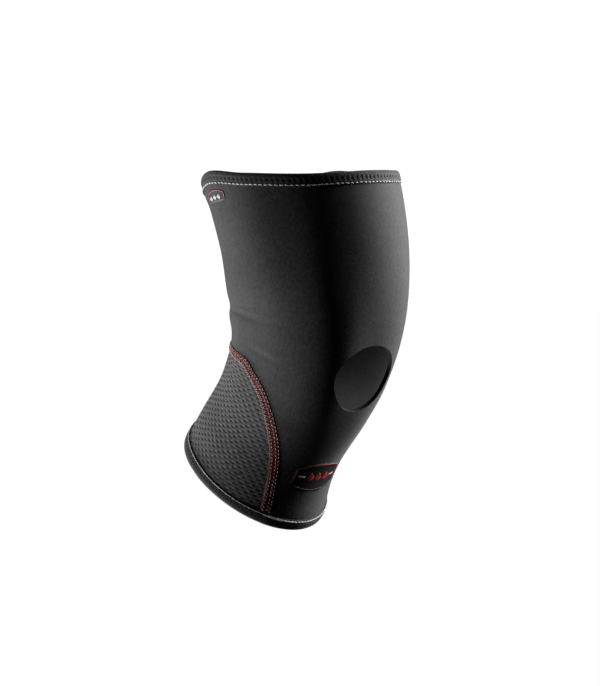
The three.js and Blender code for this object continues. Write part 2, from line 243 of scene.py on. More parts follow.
NEOPRENE_WALL = 0.003
BODY_SEAM_GAP = 0.0001
CLOTH_SPACING = 0.0021
EDGE_SPACING = 0.0011
PATELLA_WIDTH = 0.0605
PATELLA_HEIGHT = 0.0405
PATELLA_ACROSS = 0.0006
PATELLA_BELOW_KNEE = -0.0050
PATELLA_TURN = math.radians(-3.5)
PATELLA_POINTS = 140

# The seam round the mesh panel, from mid crease to the bottom rim on the -X side: half_angle is
# how far round it has gone from the middle of the back. On the +X side it has gone less far.
FAR_SIDE_SHARE = 0.85
SEAM = [
    dict(step=0, half_angle=0, at=0.022),
    dict(step=1, half_angle=30, at=0.024),
    dict(step=2, half_angle=60, at=0.030),
    dict(step=3, half_angle=80, at=0.042),
    dict(step=4, half_angle=92, at=0.100),
    dict(step=5, half_angle=105, at=0.170),
    dict(step=6, half_angle=114, at=0.245),
    dict(step=7, half_angle=122, at=0.325),
    dict(step=8, half_angle=132, at=0.455),
    dict(step=9, half_angle=138, at=0.570),
    dict(step=10, half_angle=142.5, at=0.690),
    dict(step=11, half_angle=145, at=0.830),
    dict(step=12, half_angle=145, at=1.000),
]
SEAM_SAMPLES = 2401

# Soft creases: middle on the pattern, half lengths along and across, turn from level, and height
CREASES = [
    dict(around=-0.102, station=-0.0335, long=0.020, wide=0.0022, turn=3, height=-0.00035),
    dict(around=-0.102, station=-0.0385, long=0.022, wide=0.0030, turn=2, height=0.00030),
    dict(around=-0.082, station=-0.0080, long=0.013, wide=0.0020, turn=4, height=-0.00030),
    dict(around=-0.084, station=-0.0125, long=0.014, wide=0.0026, turn=5, height=0.00022),
    dict(around=-0.088, station=-0.0800, long=0.016, wide=0.0100, turn=-20, height=-0.00050),
    dict(around=0.003, station=-0.0425, long=0.012, wide=0.0014, turn=-6, height=-0.00016),
    dict(around=0.004, station=-0.0385, long=0.013, wide=0.0014, turn=-4, height=0.00014),
    dict(around=0.006, station=-0.0350, long=0.010, wide=0.0012, turn=-4, height=-0.00014),
]

# Meshing: points measured at a time, the inner points' room to an edge as a share of their
# spacing, how near points are one, and how sharp an edge stays one
BATCH = 64
CLEAR_OF_EDGE = 0.6
CUT_MERGE = 1e-9
BODY_WELD = 1e-6
CRISP_ANGLE = math.radians(50)


def linear(hex_colour):
    """An sRGB hex colour as the linear colour that a shader takes."""
    parts = [int(hex_colour[i:i + 2], 16) / 255 for i in (0, 2, 4)]
    return [c / 12.92 if c <= 0.04045 else ((c + 0.055) / 1.055) ** 2.4 for c in parts] + [1.0]


def tinted(colour, factor):
    """An sRGB hex colour made lighter or darker."""
    return [c * factor for c in linear(colour)[:3]] + [1.0]


def add_node(owner, kind, inputs, **settings):
    """Adds a node. inputs gives each socket a value, or another node's output to link."""
    made = owner.node_tree.nodes.new("ShaderNode" + kind)
    for name, value in settings.items():
        setattr(made, name, value)
    for socket, value in inputs.items():
        if isinstance(value, bpy.types.NodeSocket):
            owner.node_tree.links.new(value, made.inputs[socket])
        else:
            made.inputs[socket].default_value = value
    return made


def new_material(name):
    """A material with an empty node tree."""
    material = bpy.data.materials.new(name)
    material.use_nodes = True
    material.node_tree.nodes.clear()
    return material


def blend(material, factor, first, second):
    """The output of a node that mixes two colours."""
    colours = {"Factor": factor.outputs[0], 6: first, 7: second}
    return add_node(material, "Mix", colours, data_type="RGBA").outputs[2]


def give_surface(material, inputs):
    """Adds the surface shader and the output."""
    surface = add_node(material, "BsdfPrincipled", inputs)
    add_node(material, "OutputMaterial", {0: surface.outputs[0]})


def evenly(line, spacing):
    """The same open line, with points about a spacing apart."""
    lengths = np.concatenate([[0], np.cumsum(np.linalg.norm(np.diff(line, axis=0), axis=1))])
    count = max(2, round(lengths[-1] / spacing) + 1)
    wanted = np.linspace(0, lengths[-1], count)
    return np.stack([np.interp(wanted, lengths, line[:, i]) for i in range(line.shape[1])], -1)


def straight_edge(start, end):
    """A straight cut across the pattern."""
    return evenly(np.array([start, end]), EDGE_SPACING)


def seam_course(offset, spacing):
    """Points (round from the middle of the back, station) along the whole seam, from one foot over
    the crease to the other. offset moves the line out of the panel, square to its course."""
    steps = np.linspace(-SEAM[-1]["step"], SEAM[-1]["step"], SEAM_SAMPLES)
    half = np.radians(along(SEAM, "step", np.abs(steps), "half_angle")) * PATTERN_RADIUS
    side = np.where(steps < 0, -FAR_SIDE_SHARE, 1)
    line = np.stack([side * half, along(SEAM, "step", np.abs(steps), "at") * SHIN_REACH], -1)
    course = np.gradient(line, axis=0)
    course /= np.linalg.norm(course, axis=1, keepdims=True)
    return evenly(line + offset * np.stack([course[:, 1], -course[:, 0]], -1), spacing)


def inside(points, loops):
    """Which points on the pattern lie inside the first closed loop and outside the others."""
    odd = np.zeros((len(loops), len(points)), bool)
    for number, loop in enumerate(loops):
        for (x0, y0), (x1, y1) in zip(loop, np.roll(loop, -1, axis=0)):
            if y0 == y1:
                continue
            crossed = (y0 > points[:, 1]) != (y1 > points[:, 1])
            edge_x = x0 + (points[:, 1] - y0) * (x1 - x0) / (y1 - y0)
            odd[number] ^= crossed & (points[:, 0] < edge_x)
    return odd[0] & ~odd[1:].any(axis=0)


def nearest(points, others):
    """For each point, the number of the nearest other and how far off it is, squared."""
    which = np.zeros(len(points), int)
    squared = np.zeros(len(points))
    for start in range(0, len(points), BATCH):
        some = slice(start, start + BATCH)
        away = np.sum((points[some][:, None] - others[None]) ** 2, axis=2)
        which[some] = np.argmin(away, axis=1)
        squared[some] = np.min(away, axis=1)
    return which, squared


def cut_on_pattern(loops, spacing):
    """Triangles that fill the first loop and leave the others open: even inside, exact at the edges."""
    low, high = loops[0].min(0), loops[0].max(0)
    rows = np.arange(low[1], high[1], spacing * math.sqrt(3) / 2)
    columns = np.arange(low[0], high[0], spacing)
    x, y = np.meshgrid(columns, rows)
    x[1::2] += spacing / 2
    grid = np.stack([x.ravel(), y.ravel()], -1)
    grid = grid[inside(grid, loops)]
    edge_points = np.concatenate(loops)
    squared = nearest(grid, edge_points)[1]
    points = np.concatenate([edge_points, grid[squared >= (CLEAR_OF_EDGE * spacing) ** 2]])
    edges = []
    for loop in loops:
        first = len(edges)
        edges += [(first + i, first + (i + 1) % len(loop)) for i in range(len(loop))]
    cut = delaunay_2d_cdt([tuple(p) for p in points.tolist()], edges, [], 0, CUT_MERGE)
    points = np.array([tuple(p) for p in cut[0]])
    triangles = np.array(cut[2])
    centres = points[triangles].mean(axis=1)
    return points, triangles[inside(centres, loops)][:, ::-1]


def mesh_piece(name, points, faces, materials, uv=None):
    """A new smooth mesh object. uv gives it a map in metres of the flat pattern."""
    mesh = bpy.data.meshes.new(name)
    mesh.from_pydata(points.tolist(), [], [[int(corner) for corner in face] for face in faces])
    if uv is not None:
        layer = mesh.uv_layers.new(name="pattern")
        corners = np.zeros(len(mesh.loops), np.int32)
        mesh.loops.foreach_get("vertex_index", corners)
        layer.data.foreach_set("uv", uv[corners].astype(np.float32).ravel())
    for material in materials:
        mesh.materials.append(material)
    mesh.polygons.foreach_set("use_smooth", np.ones(len(mesh.polygons), bool))
    piece = bpy.data.objects.new(name, mesh)
    bpy.context.scene.collection.objects.link(piece)
    return piece


def weld(piece, distance):
    """Joins the points of a piece that lie on each other."""
    work = bmesh.new()
    work.from_mesh(piece.data)
    bmesh.ops.remove_doubles(work, verts=work.verts, dist=distance)
    work.to_mesh(piece.data)
    work.free()


def select_only(piece):
    """Makes one piece the active one, for an operator."""
    bpy.ops.object.select_all(action="DESELECT")
    bpy.context.view_layer.objects.active = piece
    piece.select_set(True)


def thicken(piece, thickness, **settings):
    """Gives a sheet its thickness, inward from its face."""
    select_only(piece)
    modifier = piece.modifiers.new("Solidify", "SOLIDIFY")
    modifier.thickness = thickness
    modifier.offset = -1
    for name, value in settings.items():
        setattr(modifier, name, value)
    bpy.ops.object.modifier_apply(modifier=modifier.name)


def keep_crisp(piece):
    """Shades the cloth smooth and leaves its cut edges sharp."""
    select_only(piece)
    bpy.ops.object.shade_smooth_by_angle(angle=CRISP_ANGLE)


def stands_for(piece, node):
    """The piece moves with the sleeve and takes the solid's place."""
    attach(piece, "root")
    if node:
        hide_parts(node)


# Knitted cloth: how far stitches stray from their rows, clouds in a metre, how much stitches and
# clouds each lighten it, and its darkest and lightest tint
STITCH_SCATTER = 0.75
CLOUDS = 420.0
WIDE_CLOUDS = 55.0
STITCH_TINT = 0.55
CLOUD_TINT = 0.35
WIDE_CLOUD_TINT = 0.10
DARKEST = 0.20
LIGHTEST = 1.80


def knit_cloth(name, colour, sheen, wale, course, depth):
    """Fine knitted cloth: small round stitches, a wale wide, a course high and each a little
    lighter or darker than the next, with clouds a few stitches wide and broad faint ones."""
    material = new_material(name)
    place = add_node(material, "TexCoord", {})
    counted = add_node(material, "Mapping", {
        "Vector": place.outputs["UV"], "Scale": (1 / wale, 1 / course, 1),
    })
    stitches = add_node(material, "TexVoronoi", {
        "Vector": counted.outputs[0], "Scale": 1.0, "Randomness": STITCH_SCATTER,
    }, voronoi_dimensions="2D")
    clouds = add_node(material, "TexNoise", {
        "Vector": place.outputs["Object"], "Scale": CLOUDS, "Detail": 2.0,
    })
    wide_clouds = add_node(material, "TexNoise", {
        "Vector": place.outputs["Object"], "Scale": WIDE_CLOUDS, "Detail": 1.0,
    })
    total = 0.0
    for value, low, high, tint in (
        (stitches.outputs["Color"], 0.2, 0.8, STITCH_TINT),
        (clouds.outputs["Fac"], 0.3, 0.7, CLOUD_TINT),
        (wide_clouds.outputs["Fac"], 0.3, 0.7, WIDE_CLOUD_TINT),
    ):
        part = add_node(material, "MapRange", {
            "Value": value, "From Min": low, "From Max": high, "To Max": tint,
        })
        summed = add_node(material, "Math", {0: total, 1: part.outputs[0]}, operation="ADD")
        total = summed.outputs[0]
    bump = add_node(material, "Bump", {
        "Height": stitches.outputs["Distance"], "Distance": depth, "Strength": 0.4,
    }, invert=True)
    roughness = add_node(material, "MapRange", {
        "Value": clouds.outputs["Fac"], "To Min": 0.7, "To Max": 0.85,
    })
    give_surface(material, {
        "Base Color": blend(material, summed, tinted(colour, DARKEST), tinted(colour, LIGHTEST)),
        "Roughness": roughness.outputs[0], "Normal": bump.outputs[0],
        "Sheen Weight": sheen, "Sheen Roughness": 0.4,
    })
    return material


# Nylon jersey: matt, with a soft shine at a glancing angle. Its stitches are 0.4 mm apart, and are
# drawn 1.3 mm apart so that they show. The lining is the same cloth, a little darker.
JERSEY_STITCH = dict(wale=0.0012, course=0.0014, depth=0.00010)
neoprene_face = knit_cloth("nylon_jersey_on_neoprene", "343435", sheen=0.20, **JERSEY_STITCH)
neoprene_lining = knit_cloth("nylon_jersey_lining", "202021", sheen=0.05, **JERSEY_STITCH)

# Cut neoprene foam: dull black rubber with fine open cells
FOAM_CELLS = 1800.0
FOAM_CELL_DEPTH = 0.0002
neoprene_foam = new_material("cut_neoprene_foam")
foam_place = add_node(neoprene_foam, "TexCoord", {})
foam_cells = add_node(neoprene_foam, "TexVoronoi", {
    "Vector": foam_place.outputs["Object"], "Scale": FOAM_CELLS,
})
foam_bump = add_node(neoprene_foam, "Bump", {
    "Height": foam_cells.outputs["Distance"], "Distance": FOAM_CELL_DEPTH, "Strength": 0.7,
})
give_surface(neoprene_foam, {
    "Base Color": blend(neoprene_foam, foam_cells, linear("0b0b0c"), linear("1c1c1d")),
    "Roughness": 0.9, "Normal": foam_bump.outputs[0],
})

# The outline: down the middle of the back, the seam on one side, the bottom rim, the seam on the
# other side, up the back again and the top rim
body_seam = seam_course(BODY_SEAM_GAP, EDGE_SPACING)
body_seam = body_seam[body_seam[:, 1] < SHIN_REACH - EDGE_SPACING / 2]
near_course = body_seam[body_seam[:, 0] > EDGE_SPACING / 2] - [BACK, 0]
far_course = body_seam[body_seam[:, 0] < -EDGE_SPACING / 2] + [BACK, 0]
arch_station = np.interp(0, body_seam[:, 0], body_seam[:, 1])
back_edge = straight_edge([-BACK, -THIGH_REACH], [-BACK, arch_station])
bottom_edge = straight_edge([near_course[-1, 0], SHIN_REACH], [far_course[0, 0], SHIN_REACH])
top_edge = straight_edge([BACK, -THIGH_REACH], [-BACK, -THIGH_REACH])[1:-1]
body_outline = np.concatenate([
    back_edge, near_course, bottom_edge, far_course, back_edge[::-1] * [-1, 1], top_edge,
])
oval_turns = np.linspace(0, 2 * math.pi, PATELLA_POINTS, endpoint=False)
oval_across = PATELLA_WIDTH / 2 * np.cos(oval_turns)
oval_up = PATELLA_HEIGHT / 2 * np.sin(oval_turns)
patella_edge = np.stack([
    PATELLA_ACROSS + oval_across * math.cos(PATELLA_TURN) - oval_up * math.sin(PATELLA_TURN),
    PATELLA_BELOW_KNEE - oval_across * math.sin(PATELLA_TURN) - oval_up * math.cos(PATELLA_TURN),
], -1)


def creased(around, station):
    """Height of the soft creases at places on the pattern."""
    total = np.zeros(np.broadcast(around, station).shape)
    for crease in CREASES:
        turn = math.radians(crease["turn"])
        right, down = around - crease["around"], station - crease["station"]
        lengthwise = (right * math.cos(turn) + down * math.sin(turn)) / crease["long"]
        crosswise = (down * math.cos(turn) - right * math.sin(turn)) / crease["wide"]
        total += crease["height"] * np.exp(-lengthwise**2 - crosswise**2)
    return total


pattern, triangles = cut_on_pattern([body_outline, patella_edge], CLOTH_SPACING)
body_height = NEOPRENE_WALL + creased(pattern[:, 0], pattern[:, 1])
body = mesh_piece(
    "neoprene_shell", on_leg(pattern[:, 0], pattern[:, 1], body_height), triangles,
    [neoprene_face, neoprene_lining, neoprene_foam], uv=pattern,
)
weld(body, BODY_WELD)
thicken(body, NEOPRENE_WALL, material_offset=1, material_offset_rim=2)
keep_crisp(body)
stands_for(body, "neoprene_body")

# The mesh panel
# A spacer knit, sewn in behind the knee and down the calf to let the skin breathe. Its outer face
# has rows of small oval holes, each set between the two above it, and its inner face is plain.
# Pulled over the calf, the rows bend and spread toward the bottom rim.

MESH_WALL = 0.0026
MESH_FACE_THICKNESS = 0.0003
MESH_BACKING_THICKNESS = 0.0023
HOLE_PITCH_ROUND = 0.00736
HOLE_PITCH_DOWN = 0.0054
HOLE_LONG = 0.0022
HOLE_SHORT = 0.00045
HOLE_TURN = math.radians(2)
HOLES_WITHIN = 0.25
STRAND_ROUNDING = 0.00018
MESH_SPREAD = 1.1
MESH_SPREAD_FROM = 0.067
MESH_SPREAD_ROUNDS = 12
MESH_WELD = 0.00002
PANEL_BOTTOM_POINTS = 600
PANEL_OUTLINE_FINER = 4
# A strand's face, from half way to the next hole to the hole's edge: how far toward the hole,
# and how far sunk, as a share of the rounding
STRAND_RINGS = [
    dict(toward_hole=0.0, sunk=0.0),
    dict(toward_hole=0.7, sunk=0.25),
    dict(toward_hole=1.0, sunk=1.0),
]
TILE_EDGE_PARTS = [3, 1, 3, 3, 1, 3]


def mesh_stretched(flat):
    """Places on the worn pattern of places in the mesh as it is knitted, in straight rows."""
    round_back = flat[..., 0].copy()
    for _ in range(MESH_SPREAD_ROUNDS):
        station = flat[..., 1] - MESH_SPREAD * round_back**2 / 2
        round_back = flat[..., 0] / (1 + MESH_SPREAD * (station - MESH_SPREAD_FROM))
    return np.stack([round_back, flat[..., 1] - MESH_SPREAD * round_back**2 / 2], -1)


# One hole with the strands half way to its six neighbours: the six corners, the points between
# them, and rings that go from there to the hole's edge
corner_out = (HOLE_PITCH_ROUND**2 + HOLE_PITCH_DOWN**2) / (4 * HOLE_PITCH_ROUND)
corner_in = (HOLE_PITCH_ROUND**2 - HOLE_PITCH_DOWN**2) / (4 * HOLE_PITCH_ROUND)
tile_corners = np.array([
    [corner_out, 0], [corner_in, HOLE_PITCH_DOWN / 2], [-corner_in, HOLE_PITCH_DOWN / 2],
    [-corner_out, 0], [-corner_in, -HOLE_PITCH_DOWN / 2], [corner_in, -HOLE_PITCH_DOWN / 2],
])
tile_edge = []
for start, end, parts in zip(tile_corners, np.roll(tile_corners, -1, axis=0), TILE_EDGE_PARTS):
    tile_edge += [start + (end - start) * part / parts for part in range(parts)]
tile_edge = np.array(tile_edge)
hole_way = np.array([math.cos(HOLE_TURN), math.sin(HOLE_TURN)])
hole_side = np.array([-hole_way[1], hole_way[0]])
tile_turns = np.arctan2(tile_edge @ hole_side / HOLE_SHORT, tile_edge @ hole_way / HOLE_LONG)[:, None]
hole_edge = HOLE_LONG * np.cos(tile_turns) * hole_way + HOLE_SHORT * np.sin(tile_turns) * hole_side
tile = np.concatenate([
    tile_edge + (hole_edge - tile_edge) * ring["toward_hole"] for ring in STRAND_RINGS
])
tile_sunk = np.repeat([ring["sunk"] for ring in STRAND_RINGS], len(tile_edge)) * STRAND_ROUNDING
ring_size = len(tile_edge)
tile_faces = []
for first in range(0, len(tile) - ring_size, ring_size):
    for i in range(ring_size):
        a, b = first + i, first + (i + 1) % ring_size
        tile_faces.append([a, a + ring_size, b + ring_size, b])
tile_faces = np.array(tile_faces)

# The face is such a tile at every hole that lies in the panel, pulled in to its outline
panel_course = seam_course(0, EDGE_SPACING / PANEL_OUTLINE_FINER)
panel_bottom = np.linspace(panel_course[-1], panel_course[0], PANEL_BOTTOM_POINTS)[1:-1]
panel_outline = np.concatenate([panel_course, panel_bottom])
reach = int(HOLES_WITHIN / HOLE_PITCH_DOWN)
hole_rows, hole_columns = np.meshgrid(np.arange(-reach, reach), np.arange(-reach, reach))
paired = (hole_rows + hole_columns) % 2 == 0
hole_centres = np.stack([
    hole_columns[paired] * HOLE_PITCH_ROUND / 2, hole_rows[paired] * HOLE_PITCH_DOWN / 2,
], -1)
hole_centres = hole_centres[inside(mesh_stretched(hole_centres), [panel_outline])]
mesh_flat = (hole_centres[:, None] + tile[None]).reshape(-1, 2)
mesh_places = mesh_stretched(mesh_flat)
outside = ~inside(mesh_places, [panel_outline])
mesh_places[outside] = panel_outline[nearest(mesh_places[outside], panel_outline)[0]]
mesh_faces = tile_faces[None] + (np.arange(len(hole_centres)) * len(tile))[:, None, None]
mesh_height = MESH_WALL - np.tile(tile_sunk, len(hole_centres))

# Polyester spacer yarn: dull and a little lighter than the neoprene, and dark on the inside. The
# backing that shows down the holes is coloured lighter still, as painted light that lifts their
# shade. Its loops are 0.4 mm apart, drawn 0.8 mm apart so that they show.
SPACER_STITCH = dict(wale=0.0008, course=0.0008, depth=0.0003)
spacer_face = knit_cloth("spacer_mesh_face", "505051", sheen=0.25, **SPACER_STITCH)
# The backing is coloured lighter than the face: painted light that lifts the shade down the holes.
spacer_backing_painted_light = knit_cloth("spacer_mesh_backing", "68686a", sheen=0.05, **SPACER_STITCH)
spacer_lining = knit_cloth("spacer_mesh_lining", "202021", sheen=0.05, **JERSEY_STITCH)

mesh_panel = mesh_piece(
    "spacer_mesh_holes",
    on_leg(BACK + mesh_places[:, 0], mesh_places[:, 1], mesh_height),
    mesh_faces.reshape(-1, 4), [spacer_face], uv=mesh_flat,
)
weld(mesh_panel, MESH_WELD)
thicken(mesh_panel, MESH_FACE_THICKNESS)
stands_for(mesh_panel, "mesh_back_panel")
backing_outline = [
    np.concatenate([seam_course(0, EDGE_SPACING), panel_bottom[::PANEL_OUTLINE_FINER]]),
]
panel_points, panel_triangles = cut_on_pattern(backing_outline, CLOTH_SPACING)
backing = mesh_piece(
    "spacer_mesh_backing",
    on_leg(BACK + panel_points[:, 0], panel_points[:, 1], MESH_BACKING_THICKNESS),
    panel_triangles, [spacer_backing_painted_light, spacer_lining], uv=panel_points,
)
thicken(backing, MESH_BACKING_THICKNESS, material_offset=1)
keep_crisp(backing)
stands_for(backing, "mesh_back_panel")

# The rim bindings
# A strip of black knit folded over each cut rim and sewn through: black stitches sunk in a row of
# dimples, and further in a light grey topstitch that holds the strip's edge down.

BINDING_CLOTH = 0.0006
STITCHES_ROUND = 107
COLUMNS_PER_STITCH = 6
TOP_BINDING = dict(
    rim=-THIGH_REACH, inward=1, foot=0.0090, thread=0.0079, topstitches=112, topstitch_share=0.86,
    thread_thickness=0.0012, dimples=0.0041, dimple_reach=0.0011, dimple_depth=0.00080,
)
BOTTOM_BINDING = dict(
    rim=SHIN_REACH, inward=-1, foot=0.0080, thread=0.0070, topstitches=112, topstitch_share=1.15,
    thread_thickness=0.0009, dimples=0.0036, dimple_reach=0.0008, dimple_depth=0.00025,
)
# The folded strip's outer face from its outer edge over the rim to its inner edge: from_rim is a
# share of the strip's width, and less than 0 beyond the rim
BINDING_SECTION = [
    dict(from_rim=1.00, height=0.00335),
    dict(from_rim=0.98, height=0.00355),
    dict(from_rim=0.93, height=0.00365),
    dict(from_rim=0.875, height=0.00350),
    dict(from_rim=0.82, height=0.00365),
    dict(from_rim=0.72, height=0.00385),
    dict(from_rim=0.60, height=0.00400),
    dict(from_rim=0.50, height=0.00405),
    dict(from_rim=0.40, height=0.00410),
    dict(from_rim=0.30, height=0.00410),
    dict(from_rim=0.20, height=0.00405),
    dict(from_rim=0.11, height=0.00390),
    dict(from_rim=0.03, height=0.00365),
    dict(from_rim=-0.04, height=0.00325),
    dict(from_rim=-0.09, height=0.00265),
    dict(from_rim=-0.12, height=0.00190),
    dict(from_rim=-0.12, height=0.00110),
    dict(from_rim=-0.10, height=0.00030),
    dict(from_rim=-0.06, height=-0.00040),
    dict(from_rim=0.02, height=-0.00090),
    dict(from_rim=0.15, height=-0.00110),
    dict(from_rim=0.60, height=-0.00110),
    dict(from_rim=1.00, height=-0.00105),
]
# Dimples are in the strip's outer face alone, and spread over this share of a stitch
DIMPLED_ABOVE = 0.002
DIMPLE_SPREAD = 0.22
# The calf's binding lies this much lower over the thinner mesh, but for its inner side
OVER_MESH = 0.0005
LOWERED_ABOVE = 0.001
PANEL_AT_RIM = [-FAR_SIDE_SHARE * SEAM[-1]["half_angle"], SEAM[-1]["half_angle"]]
PANEL_EDGE_SOFT = 4

# Black knitted polyester, its loops drawn twice as far apart as they are
BINDING_STITCH = dict(wale=0.0010, course=0.0007, depth=0.0003)
binding_cloth = knit_cloth("knit_binding_strip", "363637", sheen=0.18, **BINDING_STITCH)


def round_at(turn):
    """A place round the pattern, from a share of the way round from the back."""
    return (turn * 2 - 1) * BACK


def lower_over_mesh(turn):
    """How much lower the calf's binding lies where it goes over the mesh."""
    from_back = wrapped(turn * 360)
    far = smooth(from_back, PANEL_AT_RIM[0] - PANEL_EDGE_SOFT, PANEL_AT_RIM[0] + PANEL_EDGE_SOFT)
    near = smooth(-from_back, -PANEL_AT_RIM[1] - PANEL_EDGE_SOFT, -PANEL_AT_RIM[1] + PANEL_EDGE_SOFT)
    return OVER_MESH * far * near


def dimpled(binding, turn, from_rim):
    """How far the binding's face is pulled in by the black stitches."""
    along_rim = ((turn * STITCHES_ROUND) % 1 - 0.5) / DIMPLE_SPREAD
    across_rim = (from_rim - binding["dimples"]) / binding["dimple_reach"]
    return binding["dimple_depth"] * (np.exp(-(along_rim**2)) * np.exp(-(across_rim**4)))


def fold_binding(name, binding):
    """The folded strip round one rim."""
    columns = STITCHES_ROUND * COLUMNS_PER_STITCH
    turns = np.arange(columns) / columns
    from_rim = np.array([row["from_rim"] for row in BINDING_SECTION]) * binding["foot"]
    height = np.array([row["height"] for row in BINDING_SECTION])
    turn, out = np.meshgrid(turns, from_rim, indexing="ij")
    dimples = dimpled(binding, turn, out) * (height > DIMPLED_ABOVE)
    faced = np.broadcast_to(height, turn.shape) - dimples
    if binding["inward"] < 0:
        faced = faced - lower_over_mesh(turn) * (height > LOWERED_ABOVE)
    station = binding["rim"] + binding["inward"] * out
    points = on_leg(round_at(turn), station, faced).reshape(-1, 3)
    uv = np.stack([round_at(turn), out], -1).reshape(-1, 2)
    across = len(from_rim)
    faces = []
    for column in range(columns):
        following = (column + 1) % columns
        for row in range(across - 1):
            corners = [
                column * across + row, column * across + row + 1,
                following * across + row + 1, following * across + row,
            ]
            faces.append(corners if binding["inward"] < 0 else corners[::-1])
    piece = mesh_piece(name, points, faces, [binding_cloth], uv=uv)
    thicken(piece, BINDING_CLOTH)
    return piece


top_binding = fold_binding("thigh_rim_binding", TOP_BINDING)
bottom_binding = fold_binding("calf_rim_binding", BOTTOM_BINDING)
for piece, node in ((top_binding, "top_binding"), (bottom_binding, "bottom_binding")):
    stands_for(piece, node)

# The stitches
# Polyester thread, sewn through the cloth. One stitch is made from a ball, drawn out long with
# blunt ends, and copied along each line.

STITCH_FACETS = 6
STITCH_BLUNTNESS = 0.45
STITCH_BOW = 0.0001
FIBRES = 1500.0
TOPSTITCH_HEIGHT = 0.0038
BLACK_STITCH_HEIGHT = 0.0040
BLACK_STITCH_THICKNESS = 0.0011

bpy.ops.mesh.primitive_uv_sphere_add(segments=STITCH_FACETS, ring_count=STITCH_FACETS, radius=0.5)
ball = bpy.context.object
stitch_points = np.zeros(len(ball.data.vertices) * 3)
ball.data.vertices.foreach_get("co", stitch_points)
stitch_points = stitch_points.reshape(-1, 3)
stitch_faces = [list(face.vertices) for face in ball.data.polygons]
bpy.data.objects.remove(ball)
round_part = np.maximum(np.linalg.norm(stitch_points[:, :2], axis=1, keepdims=True) * 2, 1e-6)
stitch_points[:, :2] *= round_part**-STITCH_BLUNTNESS


def thread_material(name, colour, shine):
    """Twisted polyester sewing thread."""
    material = new_material(name)
    place = add_node(material, "TexCoord", {})
    fibres = add_node(material, "TexNoise", {
        "Vector": place.outputs["Object"], "Scale": FIBRES, "Detail": 2.0,
    })
    shade = blend(material, fibres, tinted(colour, 0.6), tinted(colour, 1.3))
    give_surface(material, {"Base Color": shade, "Roughness": 0.6, "Sheen Weight": shine})
    return material


def sew(name, start, end, height, thickness, material):
    """Copies of the one stitch from each start to each end on the pattern, joined to one piece.
    Each stitch's middle bows a little above its ends."""
    t = stitch_points[None, :, 2:] + 0.5
    course = end - start
    side = np.stack([-course[:, 1], course[:, 0]], -1) / np.linalg.norm(course, axis=1, keepdims=True)
    places = start[:, None] + course[:, None] * t + side[:, None] * stitch_points[None, :, :1] * thickness
    lift = np.broadcast_to(height, (len(start),))[:, None] + stitch_points[None, :, 1] * thickness
    lift = lift + STITCH_BOW * (1 - (2 * t[..., 0] - 1) ** 2)
    points = on_leg(places[..., 0], places[..., 1], lift).reshape(-1, 3)
    faces = []
    for stitch in range(len(start)):
        first = stitch * len(stitch_points)
        faces += [[first + corner for corner in face] for face in stitch_faces]
    piece = mesh_piece(name, points, faces, [material])
    work = bmesh.new()
    work.from_mesh(piece.data)
    bmesh.ops.recalc_face_normals(work, faces=work.faces)
    work.to_mesh(piece.data)
    work.free()
    stands_for(piece, None)
    return piece


def round_rim(binding, count, from_rim):
    """Evenly spaced places round a rim, as shares of the way round and on the pattern."""
    turns = (np.arange(count) + 0.5) / count
    station = np.full(count, binding["rim"] + binding["inward"] * from_rim)
    return turns, np.stack([round_at(turns), station], -1)


grey_thread = thread_material("light_grey_topstitch", "f2f2f3", 0.2)
black_thread = thread_material("black_thread", "0a0a0b", 0.0)


def sew_binding(name, binding):
    """The light topstitch and the black stitches of one binding."""
    over_mesh = binding["inward"] < 0
    turns, line = round_rim(binding, binding["topstitches"], binding["thread"])
    half = np.array([binding["topstitch_share"] * BACK / binding["topstitches"], 0])
    height = TOPSTITCH_HEIGHT - over_mesh * lower_over_mesh(turns)
    sew(name + "_topstitch", line - half, line + half, height,
        binding["thread_thickness"], grey_thread)
    turns, sunk = round_rim(binding, STITCHES_ROUND, binding["dimples"])
    half = np.array([0, binding["dimple_reach"]])
    height = BLACK_STITCH_HEIGHT - binding["dimple_depth"] - over_mesh * lower_over_mesh(turns)
    sew(name + "_black_stitches", sunk - half, sunk + half, height,
        BLACK_STITCH_THICKNESS, black_thread)


sew_binding("thigh_rim", TOP_BINDING)
sew_binding("calf_rim", BOTTOM_BINDING)

# The flat seam
# A flatlock seam: the mesh and the neoprene meet edge to edge, and loops of thread lie over the
# join, greyish pink on the mesh and red in the middle, held by needle lines of the paler thread.

SEAM_LINE_STEP = 0.0005
SEAM_BASE_STEP = 0.0012
SEAM_BASE_THICKNESS = 0.0003
SEAM_BASE_SECTION = [
    dict(offset=-0.0040, height=0.00280),
    dict(offset=-0.0036, height=0.00310),
    dict(offset=-0.0026, height=0.00330),
    dict(offset=-0.0016, height=0.00320),
    dict(offset=-0.0008, height=0.00305),
    dict(offset=0.0004, height=0.00305),
    dict(offset=0.0012, height=0.00325),
    dict(offset=0.0022, height=0.00325),
    dict(offset=0.0032, height=0.00335),
    dict(offset=0.0038, height=0.00320),
    dict(offset=0.0040, height=0.00305),
]
# The rows of thread from the mesh to the neoprene: start and end across the seam, how far the
# thread slants along it, height and thickness. All stitches are a little further apart than the
# real ones, so that they show.
LOOP_PITCH = 0.0019
PANEL_LOOPS = dict(start=-0.0038, end=-0.0018, slant=0.0009, height=0.0033, thickness=0.00095)
MIDDLE_LOOPS = dict(start=-0.0014, end=0.0012, slant=0.0009, height=0.0031, thickness=0.00090)
BODY_LOOPS = dict(start=0.0014, end=0.0032, slant=0.0009, height=0.0033, thickness=0.00085)
NEEDLE_PITCH = 0.0030
NEEDLE_SHARE = 0.62
NEEDLE_LINES = [-0.0016, 0.0013, 0.0035]
NEEDLE_HEIGHT = 0.0036
NEEDLE_THICKNESS = 0.0006

